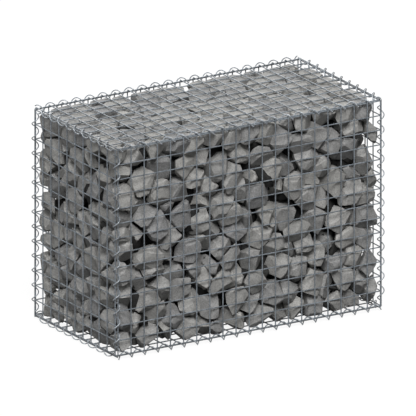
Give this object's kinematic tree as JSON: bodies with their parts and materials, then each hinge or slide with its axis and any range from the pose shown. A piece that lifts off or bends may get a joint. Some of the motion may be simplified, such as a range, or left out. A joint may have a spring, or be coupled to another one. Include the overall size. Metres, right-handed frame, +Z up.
{
  "type": "gabion wall",
  "caption": "Free-standing gabion wall: a box of welded wire mesh with spiral binders laced along its edges, filled with angular crushed stone.",
  "frame": {"origin": "middle of the footprint, on the floor under the base binders", "axes": "+X along the wall's length, -Y out of its front, +Z up"},
  "size_m": [1.0318, 0.5318, 0.7318],
  "materials": {
    "mesh_wire": "satin",
    "binder_wire": "satin",
    "crushed_stone": "matte",
    "inner_stone": "matte"
  },
  "bodies": {
    "root": {"front_panel": "mesh_wire", "back_panel": "mesh_wire", "left_end_panel": "mesh_wire", "right_end_panel": "mesh_wire", "lid_panel": "mesh_wire", "base_panel": "mesh_wire", "corner_binder_front_left": "binder_wire", "corner_binder_front_right": "binder_wire", "corner_binder_back_left": "binder_wire", "corner_binder_back_right": "binder_wire", "lid_binder_front": "binder_wire", "lid_binder_back": "binder_wire", "lid_binder_left": "binder_wire", "lid_binder_right": "binder_wire", "base_binder_front": "binder_wire", "base_binder_back": "binder_wire", "base_binder_left": "binder_wire", "base_binder_right": "binder_wire", "stone_course_1": "crushed_stone", "stone_course_2": "crushed_stone", "stone_course_3": "crushed_stone", "stone_course_4": "crushed_stone", "stone_course_5": "crushed_stone", "stone_course_6": "crushed_stone", "stone_course_7": "crushed_stone", "stone_course_8": "crushed_stone", "stone_course_9": "crushed_stone", "stone_course_10": "crushed_stone", "stone_core": "inner_stone"}
  },
  "joints": []
}
